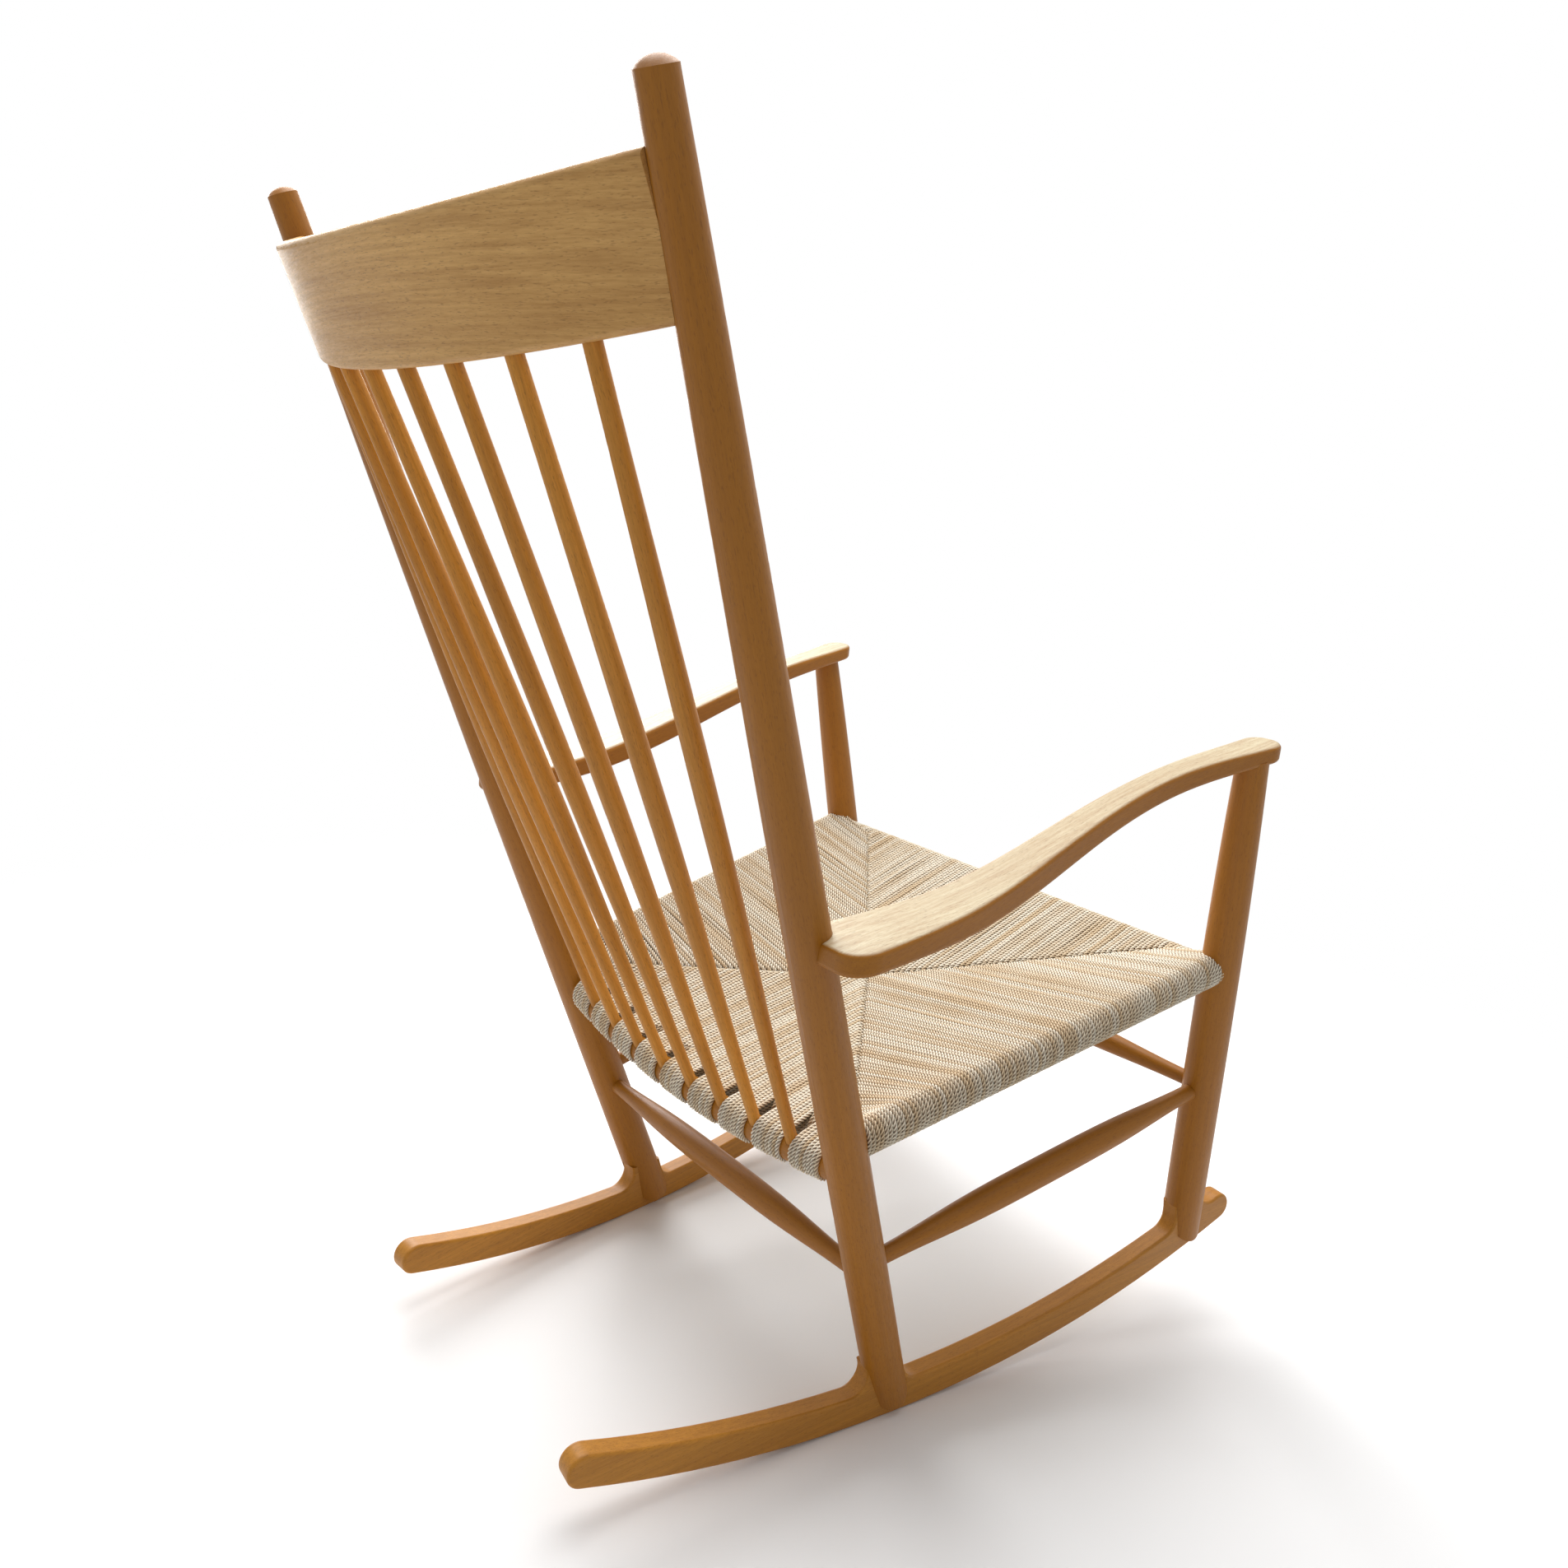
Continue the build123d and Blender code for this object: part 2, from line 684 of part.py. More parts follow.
boxes = [solid.bounding_box() for solid in parts.values()]
back_end = max(box.max.Y for box in boxes)
front_end = min(box.min.Y for box in boxes)
floor = min(box.min.Z for box in boxes)
to_origin = Pos(0, -(front_end + back_end) / 2, -floor)

os.makedirs("parts", exist_ok=True)
for name, solid in parts.items():
    placed = to_origin * solid
    placed.label = name
    export_step(placed, "parts/" + name + ".step")
print("middle of the base behind the contact line:", round((front_end + back_end) / 2, 2))
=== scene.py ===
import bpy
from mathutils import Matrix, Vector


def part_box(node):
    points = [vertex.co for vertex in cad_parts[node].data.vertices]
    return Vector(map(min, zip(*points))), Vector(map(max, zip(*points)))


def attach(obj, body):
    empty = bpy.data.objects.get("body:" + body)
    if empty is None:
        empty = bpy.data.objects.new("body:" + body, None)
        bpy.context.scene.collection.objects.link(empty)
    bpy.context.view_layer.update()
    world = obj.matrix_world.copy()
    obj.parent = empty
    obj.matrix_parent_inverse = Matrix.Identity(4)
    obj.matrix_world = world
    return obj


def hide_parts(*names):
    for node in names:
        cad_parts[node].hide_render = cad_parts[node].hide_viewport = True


bl_info = {
    "name": "Spindle-back rocking chair",
    "version": (1, 0, 0),
    "blender": (4, 5, 0),
    "location": "3D View > Sidebar > Rocker",
    "description": "Finishes the beech frame of a rocking chair and weaves its cord seat",
    "category": "Object",
}

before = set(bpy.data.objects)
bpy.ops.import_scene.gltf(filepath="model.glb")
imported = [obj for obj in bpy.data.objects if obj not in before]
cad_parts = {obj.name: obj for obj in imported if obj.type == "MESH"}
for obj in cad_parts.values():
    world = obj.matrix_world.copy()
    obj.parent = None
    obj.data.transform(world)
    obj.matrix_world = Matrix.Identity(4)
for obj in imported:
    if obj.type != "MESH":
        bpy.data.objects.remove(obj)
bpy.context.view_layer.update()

from math import acos, atan2, ceil, cos, pi, radians, sin, sqrt

import bpy
import numpy as np
from bpy.props import FloatProperty, FloatVectorProperty, IntProperty, PointerProperty
from mathutils import Matrix, Vector

# A beech rocking chair with a seat of twisted paper cord. Metres, +Z up; the sitter
# faces -Y and +X is the sitter's left. The wooden pieces are the frame's own, with a
# finish each; the cord seat is built here, cord by cord.


def linear(hex_colour):
    """An sRGB hex colour as the linear RGBA that Blender's sockets take."""
    parts = [int(hex_colour[i:i + 2], 16) / 255 for i in (1, 3, 5)]
    return [c / 12.92 if c <= 0.04045 else ((c + 0.055) / 1.055) ** 2.4 for c in parts] + [1.0]


def add_node(tree, kind, values=None, links=None, **settings):
    """Add a node, set its own settings and its inputs' values, and link sockets into it."""
    made = tree.nodes.new(kind)
    for name, setting in settings.items():
        setattr(made, name, setting)
    for name, value in (values or {}).items():
        made.inputs[name].default_value = value
    for name, socket in (links or {}).items():
        tree.links.new(socket, made.inputs[name])
    return made


def new_material(name):
    """A material with an empty node tree, and its output."""
    material = bpy.data.materials.new(name)
    material.use_nodes = True
    material.node_tree.nodes.clear()
    return material, material.node_tree, material.node_tree.nodes.new("ShaderNodeOutputMaterial")


# ---------------------------------------------------------------- sizes and colours

def colour_property(name, description, hex_colour):
    """A colour that a user can change."""
    return FloatVectorProperty(
        name=name, description=description, subtype="COLOR", size=4, min=0, max=1,
        default=linear(hex_colour),
    )


def length_property(name, description, metres):
    """A length that a user can change."""
    return FloatProperty(
        name=name, description=description, unit="LENGTH", min=0, default=metres, precision=5
    )


def share_property(name, description, share):
    """A share from 0 to 1 that a user can change."""
    return FloatProperty(
        name=name, description=description, subtype="FACTOR", min=0, max=1, default=share
    )


def angle_property(name, description, angle):
    """An angle that a user can change."""
    return FloatProperty(name=name, description=description, unit="ROTATION", default=angle)


def place_property(name, description, place):
    """A point that a user can move."""
    return FloatVectorProperty(
        name=name, description=description, subtype="XYZ", unit="LENGTH", default=place
    )


class BeechSettings(bpy.types.PropertyGroup):
    """The oiled beech of the frame."""

    honey: colour_property("Honey", "Posts, legs, arms, rails and stretchers", "#A76A11")
    golden: colour_property("Golden", "Rockers", "#C4862A")
    bright: colour_property("Bright", "Spindles, turned from fresh straight wood", "#D69231")
    straw: colour_property("Straw", "The crest rail's paler board", "#E6B771")
    # Painted highlight: the pale colour that the arms' upward faces are drawn in, for the light from
    # above.
    painted_highlight: colour_property("Bleached", "Top of the arms, paled by sun and hands", "#C8BC9C")
    dark_band: colour_property("Dark band", "Slower growth, in bands along the grain", "#8C5713")
    amber: colour_property("Amber", "Where age and oil have darkened the wood", "#986013")
    fleck: colour_property("Fleck", "The short rays that cross the grain", "#60390F")
    ageing_length: length_property("Ageing length", "Of a darkened patch, along the grain", 0.35)
    ageing_width: length_property("Ageing width", "Of a darkened patch, across the grain", 0.12)
    band_length: length_property("Band length", "Of a growth band, along the grain", 0.22)
    band_width: length_property("Band width", "Of a growth band, across the grain", 0.0042)
    fine_length: length_property("Fine length", "Of a streak of pores, along the grain", 0.012)
    fine_width: length_property("Fine width", "Of a streak of pores, across the grain", 0.0011)
    fleck_length: length_property("Fleck length", "Along the grain", 0.0052)
    fleck_width: length_property("Fleck width", "Across the grain", 0.0008)
    ageing_share: share_property("Ageing share", "How strongly ageing shows", 0.45)
    band_share: share_property("Band share", "How strongly growth bands show", 0.38)
    fine_share: share_property("Fine share", "How strongly streaks of pores show", 0.2)
    fleck_share: share_property("Fleck share", "How strongly flecks show", 0.32)
    pore_depth: length_property("Pore depth", "Of the streaks of pores", 0.00008)
    roughness: share_property("Roughness", "Of the oiled surface", 0.44)
    specular: share_property("Specular", "Gloss of the oil; 0.5 is what its IOR gives", 0.35)


class CordSettings(bpy.types.PropertyGroup):
    """The three-ply twisted paper cord."""

    light: colour_property("Light", "Top of a ply", "#EFE6D2")
    tan: colour_property("Tan", "Some lengths of cord are browner", "#DAC4A1")
    # Painted shade: the dark colour drawn in the grooves between plies, where shade falls.
    groove: colour_property("Groove", "Between two plies, where dust and shade sit", "#694424")
    diameter: length_property("Diameter", "Of the whole cord", 0.0044)
    lay: length_property("Lay", "Length in which a ply goes once around", 0.0112)
    valley: share_property("Valley", "Depth of the groove, as a share of the radius", 0.52)
    step: length_property("Step", "Between the sections of a cord's mesh", 0.0016)
    loose: length_property("Loose", "How far a cord strays from its neighbour in mid-span", 0.0007)
    crease: length_property("Crease", "Size of the creases in the twisted paper", 0.0008)
    crease_depth: length_property("Crease depth", "Of those creases", 0.0001)
    patch: length_property("Patch", "Length over which the paper's colour drifts", 0.05)
    roughness: share_property("Roughness", "Of the waxed paper", 0.66)


class SeatSettings(bpy.types.PropertyGroup):
    """Where the cords run. Heights are of the weave's top surface."""

    rail_half_width: length_property("Rail half width", "Half of a seat rail's thickness", 0.0105)
    rail_half_height: length_property("Rail half height", "Half of a seat rail's height", 0.013)
    back_rail_bow: length_property("Back rail bow", "Backwards in the middle", 0.013)
    back_rail_dip: length_property("Back rail dip", "Downwards in the middle", 0.013)
    side_pitch: length_property("Side pitch", "Cord to cord on a side rail", 0.0043)
    front_pitch: length_property("Front pitch", "Cord to cord on the front rail", 0.0043)
    back_pitch: length_property("Back pitch", "Cord to cord in a bundle on the back rail", 0.0045)
    spindle_pitch: length_property("Spindle pitch", "Spindle to spindle at the back rail", 0.0474)
    bundle_cords: IntProperty(
        name="Bundle cords", description="Cords between two spindles", default=8, min=1
    )
    gap_cords: IntProperty(
        name="Gap cords", description="Cords that come up in front of a spindle", default=3, min=1
    )
    gap_reach: length_property("Gap reach", "From the back rail's axis to where gaps close", 0.022)
    middle: place_property("Middle", "Where the four panels meet", (0.0, -0.131, 0.346))
    middle_thickness: length_property("Middle thickness", "Top to bottom layer there", 0.013)
    front_kink: place_property(
        "Front kink", "Where the front mitre turns into its corner", (0.226, -0.330, 0.424)
    )
    front_corner: place_property(
        "Front corner", "Where the front mitre meets the leg", (0.272, -0.335, 0.434)
    )
    back_corner: place_property(
        "Back corner", "Where the back mitre meets the post", (0.226, 0.094, 0.320)
    )
    past_corner: length_property("Past corner", "Side cords go on past the back corner", 0.001)


class StageSettings(bpy.types.PropertyGroup):
    """Floor, lamps and camera."""

    floor: colour_property("Floor", "Pale studio floor", "#F4F4F4")
    floor_radius: length_property("Floor radius", "Where the floor has faded out", 1.8)
    fade_start: share_property("Fade start", "Share of the radius where fading starts", 0.3)
    key_power: FloatProperty(
        name="Key power", description="Of the large soft lamp overhead", unit="POWER", default=76.0
    )
    key_size: length_property("Key size", "Side of the lamp overhead", 2.4)
    key_place: place_property("Key place", "Of the lamp overhead", (0.4, -0.3, 2.9))
    key_aim: length_property("Key aim", "Height that the lamp overhead points at", 0.3)
    rim_power: FloatProperty(
        name="Rim power", description="Of the wide lamp beyond the chair", unit="POWER", default=106.0
    )
    rim_size: length_property("Rim size", "Side of the lamp beyond the chair", 2.2)
    rim_place: place_property("Rim place", "Of the lamp beyond the chair", (2.9, -0.7, 1.9))
    rim_aim: length_property("Rim aim", "Height that the lamp beyond points at", 0.5)
    sky: FloatProperty(
        name="Sky", description="Strength of the even light from all round", min=0, default=0.42
    )
    camera_place: place_property(
        "Camera place", "Where the camera stands", (-0.92682, 0.80052, 0.85043)
    )
    camera_yaw: angle_property("Camera yaw", "Turn from looking along -Y towards +X", 0.8729)
    camera_pitch: angle_property("Camera pitch", "Look down", 0.2120)
    camera_roll: angle_property("Camera roll", "About its own axis", -0.0945)
    camera_lens: FloatProperty(
        name="Camera lens", description="Focal length on a 36 mm frame", unit="CAMERA", default=29.2
    )
    camera_shift: FloatVectorProperty(
        name="Camera shift", description="Sideways and upwards, as shares of the frame", size=2,
        default=(0.0045, -0.0119), precision=4,
    )


class RockerSettings(bpy.types.PropertyGroup):
    """Everything that can be changed on the chair."""

    beech: PointerProperty(type=BeechSettings)
    cord: PointerProperty(type=CordSettings)
    seat: PointerProperty(type=SeatSettings)
    stage: PointerProperty(type=StageSettings)


# ---------------------------------------------------------------- beech

BENT = ("crest_rail", "seat_rail_back")
CUT_STEP = Vector((0.37, 0.11, 0.23))  # each piece is cut this much further on in the wood
HIGHLIGHT_FACING = (0.62, 0.97)  # how upright a face's normal is where the painted highlight starts and is full
SHEEN_SPREAD = (-0.05, 0.07)  # pores are rougher than the wood between them


def node_points(node_name):
    """The points of one of the frame's pieces."""
    return np.array([v.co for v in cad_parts[node_name].data.vertices])


def grain_axis(node_name):
    """The long axis of a wooden piece, as a unit vector, from its own points."""
    points = node_points(node_name)
    points = points - points.mean(0)
    return Vector(np.linalg.svd(points.T @ points)[0][:, 0])


def bend_of(node_name):
    """Centre and radius of the arc that a bent rail's rear face follows."""
    points = node_points(node_name)
    half = points[:, 0].max()
    behind = points[:, 1].max()
    bow = behind - points[points[:, 0] > 0.98 * half][:, 1].max()
    radius = (half * half + bow * bow) / (2 * bow)
    return (0.0, behind - radius, 0.0), radius


def along_bend(tree, place, centre, radius):
    """Straighten a place along a board that is bent about an upright axis, so that its
    grain follows the bend: (length along the arc, distance from the axis, height)."""
    away = add_node(
        tree, "ShaderNodeVectorMath", operation="SUBTRACT", links={0: place}, values={1: centre}
    )
    part = add_node(tree, "ShaderNodeSeparateXYZ", links={0: away.outputs["Vector"]}).outputs
    angle = add_node(
        tree, "ShaderNodeMath", operation="ARCTAN2", links={0: part["X"], 1: part["Y"]}
    ).outputs[0]
    length = add_node(
        tree, "ShaderNodeMath", operation="MULTIPLY", links={0: angle}, values={1: radius}
    ).outputs[0]
    flat = add_node(tree, "ShaderNodeCombineXYZ", links={"X": part["X"], "Y": part["Y"]})
    reach = add_node(
        tree, "ShaderNodeVectorMath", operation="LENGTH", links={0: flat.outputs["Vector"]}
    ).outputs["Value"]
    straight = {"X": length, "Y": reach, "Z": part["Z"]}
    return add_node(tree, "ShaderNodeCombineXYZ", links=straight).outputs["Vector"]


def oiled_beech(name, axis, seed, bend, tone, top_highlight, settings):
    """Oiled beech, planed or turned and sanded along the grain: a warm honey brown with
    short dark ray flecks all along it, broad soft bands, and a satin sheen that catches
    the light from above. Where asked, faces that point up get a painted highlight: they
    are drawn in a pale straw, for the light from above."""
    material, tree, out = new_material(name)
    place = add_node(tree, "ShaderNodeTexCoord").outputs["Object"]
    if bend:
        place = along_bend(tree, place, *bend)
    turn = axis.to_track_quat("X", "Z").to_euler()
    along = add_node(
        tree, "ShaderNodeMapping", vector_type="TEXTURE", links={"Vector": place},
        values={"Rotation": turn, "Location": seed * CUT_STEP},
    ).outputs["Vector"]

    def stretched(length, width, detail, roughness=0.5):
        """Noise whose patches are so long along the grain and so wide across it."""
        scaled = add_node(
            tree, "ShaderNodeMapping", links={"Vector": along},
            values={"Scale": (1 / length, 1 / width, 1 / width)},
        ).outputs["Vector"]
        return add_node(
            tree, "ShaderNodeTexNoise", links={"Vector": scaled},
            values={"Scale": 1.0, "Detail": detail, "Roughness": roughness},
        ).outputs["Fac"]

    def spread(socket, low, high):
        """The part of a value between two levels, stretched to 0 and 1."""
        return add_node(
            tree, "ShaderNodeMapRange", links={"Value": socket}, values={"From Min": low, "From Max": high}
        ).outputs["Result"]

    def stained(wood, amount, colour):
        """The wood's colour so far, with some of another over it."""
        return add_node(
            tree, "ShaderNodeMix", data_type="RGBA", links={0: amount, 6: wood}, values={7: colour}
        ).outputs[2]

    def part_of(socket, share):
        """A share of a value."""
        return add_node(
            tree, "ShaderNodeMath", operation="MULTIPLY", links={0: socket}, values={1: share}
        ).outputs[0]

    ageing = spread(stretched(settings.ageing_length, settings.ageing_width, 2.0), 0.35, 0.7)
    bands = spread(stretched(settings.band_length, settings.band_width, 4.0, 0.6), 0.36, 0.66)
    fine = spread(stretched(settings.fine_length, settings.fine_width, 2.0), 0.3, 0.7)
    # Real ray flecks are 0.2 mm wide; they are drawn four times as wide so that they show.
    flecks = spread(stretched(settings.fleck_length, settings.fleck_width, 1.0), 0.60, 0.70)
    wood = add_node(
        tree, "ShaderNodeMix", data_type="RGBA", links={0: part_of(ageing, settings.ageing_share)},
        values={6: tone, 7: settings.amber},
    ).outputs[2]
    # Painted highlight: faces that point up are mixed towards a pale colour, for the light from above.
    if top_highlight:
        facing = add_node(tree, "ShaderNodeNewGeometry").outputs["Normal"]
        upward = add_node(tree, "ShaderNodeSeparateXYZ", links={0: facing}).outputs["Z"]
        wood = stained(wood, spread(upward, *HIGHLIGHT_FACING), settings.painted_highlight)
    wood = stained(wood, part_of(bands, settings.band_share), settings.dark_band)
    wood = stained(wood, part_of(fine, settings.fine_share), settings.dark_band)
    wood = stained(wood, part_of(flecks, settings.fleck_share), settings.fleck)
    smooth, rough = (settings.roughness + change for change in SHEEN_SPREAD)
    sheen = add_node(
        tree, "ShaderNodeMapRange", links={"Value": fine}, values={"To Min": smooth, "To Max": rough}
    ).outputs["Result"]
    bump = add_node(
        tree, "ShaderNodeBump", links={"Height": fine},
        values={"Strength": 0.25, "Distance": settings.pore_depth},
    ).outputs["Normal"]
    surface = add_node(
        tree, "ShaderNodeBsdfPrincipled", values={"IOR": 1.5, "Specular IOR Level": settings.specular},
        links={"Base Color": wood, "Roughness": sheen, "Normal": bump},
    )
    tree.links.new(surface.outputs["BSDF"], out.inputs["Surface"])
    return material


def finish_beech(node_names, tone, settings, top_highlight=False):
    """Give each piece its own cut of beech of one tone, its grain along the piece."""
    everything = sorted(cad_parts)
    for name in node_names:
        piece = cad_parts[name]
        seed = 1 + everything.index(name)
        bend = bend_of(name) if name in BENT else None
        beech = oiled_beech("oiled_beech_" + name, grain_axis(name), seed, bend, tone, top_highlight, settings)
        piece.data.materials.clear()
        piece.data.materials.append(beech)


# ---------------------------------------------------------------- cord

PLY_EDGE = radians(24)  # half of the arc over which a ply keeps its full height
RING = 9                # points around a cord


def twisted_paper_cord(settings):
    """Three-ply twisted paper cord, unbleached and lightly waxed: cream on the top of
    each ply, with painted shade in brown in the grooves between, browner lengths here
    and there and the dull shine of waxed paper."""
    material, tree, out = new_material("twisted_paper_cord")
    groove = add_node(tree, "ShaderNodeAttribute", attribute_name="groove").outputs["Fac"]
    tint = add_node(tree, "ShaderNodeAttribute", attribute_name="tint").outputs["Fac"]
    place = add_node(tree, "ShaderNodeTexCoord").outputs["Object"]
    # Creases of the twisted paper are near 0.3 mm; they are drawn at 0.8 mm so that they show.
    creases = add_node(
        tree, "ShaderNodeTexNoise", links={"Vector": place},
        values={"Scale": 1 / settings.crease, "Detail": 1.0},
    ).outputs["Fac"]
    drift = add_node(
        tree, "ShaderNodeTexNoise", links={"Vector": place},
        values={"Scale": 1 / settings.patch, "Detail": 2.0},
    ).outputs["Fac"]
    both = add_node(tree, "ShaderNodeMath", operation="ADD", links={0: tint, 1: drift}).outputs[0]
    browner = add_node(
        tree, "ShaderNodeMapRange", links={"Value": both}, values={"From Min": 0.65, "From Max": 1.45}
    ).outputs["Result"]
    paper = add_node(
        tree, "ShaderNodeMix", data_type="RGBA", links={0: browner},
        values={6: settings.light, 7: settings.tan},
    ).outputs[2]
    # Painted shade: deeper parts of a groove are mixed towards the dark groove colour, broken up a little
    # by the creases.
    depth = add_node(
        tree, "ShaderNodeMath", operation="POWER", links={0: groove}, values={1: 1.1}
    ).outputs[0]
    shade = add_node(
        tree, "ShaderNodeMapRange", links={"Value": creases},
        values={"From Min": 0.3, "From Max": 0.7, "To Min": 0.8, "To Max": 1.0},
    ).outputs["Result"]
    dark = add_node(
        tree, "ShaderNodeMath", operation="MULTIPLY", links={0: depth, 1: shade}
    ).outputs[0]
    colour = add_node(
        tree, "ShaderNodeMix", data_type="RGBA", links={0: dark, 6: paper}, values={7: settings.groove}
    ).outputs[2]
    bump = add_node(
        tree, "ShaderNodeBump", links={"Height": creases},
        values={"Strength": 0.35, "Distance": settings.crease_depth},
    ).outputs["Normal"]
    surface = add_node(
        tree, "ShaderNodeBsdfPrincipled", values={"Roughness": settings.roughness, "IOR": 1.45},
        links={"Base Color": colour, "Normal": bump},
    )
    tree.links.new(surface.outputs["BSDF"], out.inputs["Surface"])
    return material


def cord_material(settings):
    """The cord's material, made once."""
    return bpy.data.materials.get("twisted_paper_cord") or twisted_paper_cord(settings)


def resample(points, step):
    """Points at an even step along a line, and how far along it each one is."""
    gaps = np.linalg.norm(np.diff(points, axis=0), axis=1)
    reach = np.concatenate([[0], np.cumsum(gaps)])
    marks = np.linspace(0, reach[-1], max(int(ceil(reach[-1] / step)), 2) + 1)
    return np.stack([np.interp(marks, reach, column) for column in points.T], 1), marks


def cord_skin(points, marks, side, phase, settings):
    """The skin of one three-ply cord along its line: nine points around, two on each
    ply and one in each groove, turning with the lay."""
    ways = np.gradient(points, axis=0)
    ways /= np.linalg.norm(ways, axis=1, keepdims=True)
    up = np.cross(ways, side)
    up /= np.linalg.norm(up, axis=1, keepdims=True)
    across = np.cross(up, ways)
    turn = phase + 2 * pi * marks / settings.lay
    ring = (np.arange(3)[:, None] * 2 * pi / 3 + np.array([-PLY_EDGE, PLY_EDGE, pi / 3])).ravel()
    reach = settings.diameter / 2 * np.tile([1.0, 1.0, 1 - settings.valley], 3)
    angle = turn[:, None] + ring[None]
    skin = (
        points[:, None]
        + across[:, None] * (reach * np.cos(angle))[..., None]
        + up[:, None] * (reach * np.sin(angle))[..., None]
    )
    return skin.reshape(-1, 3)


def cord_object(name, cords, settings):
    """One piece from many cords, with the depth of each point's groove, where the
    material paints shade, and the tint of its cord as attributes for the material."""
    verts, faces, grooves, tints = [], [], [], []
    ring = np.arange(RING)
    cap = np.array([[8, 0, 1, 2], [8, 2, 3, 4], [8, 4, 5, 6]])
    base = 0
    for points, side, phase, tint in cords:
        line, marks = resample(points, settings.step)
        count = len(line)
        first = base + np.arange(count - 1)[:, None] * RING
        follow = (ring + 1) % RING
        quads = np.stack([first + ring, first + follow, first + RING + follow, first + RING + ring], -1)
        verts.append(cord_skin(line, marks, side, phase, settings))
        faces.append(quads.reshape(-1, 4))
        faces.append(base + cap[:, ::-1])
        faces.append(base + (count - 1) * RING + cap)
        # The groove depth marks where the material paints shade.
        grooves.append(np.tile([0.0, 0.0, 1.0], count * 3))
        tints.append(np.full(count * RING, tint))
        base += count * RING
    verts, faces = np.concatenate(verts), np.concatenate(faces)
    mesh = bpy.data.meshes.new(name)
    mesh.vertices.add(len(verts))
    mesh.vertices.foreach_set("co", verts.astype(np.float32).ravel())
    mesh.loops.add(faces.size)
    mesh.loops.foreach_set("vertex_index", faces.astype(np.int32).ravel())
    mesh.polygons.add(len(faces))
    mesh.polygons.foreach_set("loop_start", np.arange(0, faces.size, 4, dtype=np.int32))
    mesh.update(calc_edges=True)
    mesh.shade_smooth()
    for label, values in (("groove", grooves), ("tint", tints)):
        attribute = mesh.attributes.new(label, "FLOAT", "POINT")
        attribute.data.foreach_set("value", np.concatenate(values).astype(np.float32))
    mesh.materials.append(cord_material(settings))
    piece = bpy.data.objects.new(name, mesh)
    bpy.context.scene.collection.objects.link(piece)
    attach(piece, "root")
    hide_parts("seat_cord")


# ---------------------------------------------------------------- the weave

SIDEWAYS = np.array([1.0, 0.0, 0.0])
LENGTHWAYS = np.array([0.0, 1.0, 0.0])
SHORT_REACH = 0.030     # a cord shorter than this from the rail is only a turn round it
SHORT_UNDER = 0.004     # how far inward such a cord ends on the underside
TURN_POINTS = 28        # along a cord's turn round its rail
LINE_STEP = 0.004       # between the points of a cord's line
FLAT_END = 0.0002       # points this near to a rail's last one are on its flat end
RAIL_END = 0.001        # the back rail's bow ends this far inside its tenons
BEND_LENGTH = 1.9       # length of a cord's inner end that bends down, in diameters

# The inner end of a cord that crosses over the mitre, and of one that passes under it:
# diameters past the mitre and diameters of drop.
OVER_END = ((-0.5, 0.0), (0.1, -0.25), (0.3, -1.3))
UNDER_END = ((-1.6, 0.0), (-0.95, -0.4), (-0.5, -1.7))

# A cord that comes up in front of the back rail: share of the height that it climbs
# and how far it bulges towards the rail there.
CLIMB = ((0.2, 0.004), (0.5, 0.006), (0.8, 0.004))


def rail_axis(node_name):
    """The two ends of a straight rail's axis, from the flat ends of its tenons."""
    points = node_points(node_name)
    centre = points.mean(0)
    way = np.linalg.svd((points - centre).T @ (points - centre))[0][:, 0]
    reach = (points - centre) @ way
    low = points[reach < reach.min() + FLAT_END]
    high = points[reach > reach.max() - FLAT_END]
    return (low.min(0) + low.max(0)) / 2, (high.min(0) + high.max(0)) / 2


def back_rail_axis(across, seat):
    """A point on the back rail's bowed axis."""
    low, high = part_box("seat_rail_back")
    outward = (across / (high.x - RAIL_END)) ** 2
    y = high.y - seat.rail_half_width - seat.back_rail_bow * outward
    z = low.z + seat.rail_half_height + seat.back_rail_dip * outward
    return np.array([across, y, z])


def wrap(mitre, seat, cord):
    """One cord's line in its own plane, as (distance inward, height) from the rail's
    axis: along the underside, round the outside of the rail, and over to the mitre."""
    half_width = seat.rail_half_width + cord.diameter / 2
    half_height = seat.rail_half_height + cord.diameter / 2
    under = (mitre[0], mitre[1] - seat.middle_thickness)
    if mitre[0] < SHORT_REACH:
        under = (SHORT_UNDER, -half_height)

    def tangent(point, side):
        """The turn, from straight up, at which a line from a point touches the rail."""
        a, b = point[0] / half_width, point[1] / half_height
        size = sqrt(a * a + b * b)
        return atan2(a, b) + side * (acos(1 / size) if size > 1 else 0.0)

    top_turn = tangent(mitre, -1) + 2 * pi
    low_turn = tangent(under, 1)
    if low_turn < pi / 2:
        low_turn += 2 * pi
    turns = np.linspace(low_turn, top_turn, TURN_POINTS)
    around = np.stack([half_width * np.sin(turns), half_height * np.cos(turns)], 1)
    return resample(np.concatenate([[under], around, [mitre]]), LINE_STEP)[0]


def dive(line, ending, cord):
    """Bend the inner end of a cord's top layer down at the mitre."""
    end = line[-1]
    straight = np.linalg.norm(line - end, axis=1) > BEND_LENGTH * cord.diameter
    kept = line[:np.nonzero(straight)[0][-1] + 1]
    way = (end - kept[-1]) / np.linalg.norm(end - kept[-1])
    bent = [end + cord.diameter * (along * way + [0, drop]) for along, drop in ending]
    return np.concatenate([kept, bent])


